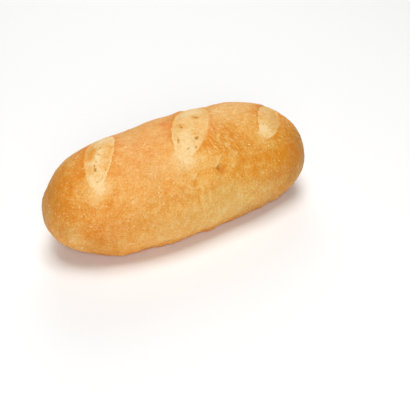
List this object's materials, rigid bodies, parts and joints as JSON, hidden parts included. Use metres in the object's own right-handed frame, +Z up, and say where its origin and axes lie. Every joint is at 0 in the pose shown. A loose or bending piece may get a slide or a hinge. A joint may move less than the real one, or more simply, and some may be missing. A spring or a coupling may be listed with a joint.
{
  "type": "sourdough loaf",
  "caption": "Oval hearth-baked bread loaf with slanting burst cuts across its crown and a flat base to rest on, for tables, boards and shelves.",
  "frame": {"origin": "middle of the loaf's flat base, on the surface that it stands on", "axes": "+X along the loaf towards its blunt end, +Z up, and -Y towards the front with the tucked fold"},
  "size_m": [0.29, 0.139, 0.098],
  "materials": {
    "crust": "dry baked crust, matte with a faint satin sheen"
  },
  "bodies": {
    "root": {"loaf": "crust"}
  },
  "joints": []
}
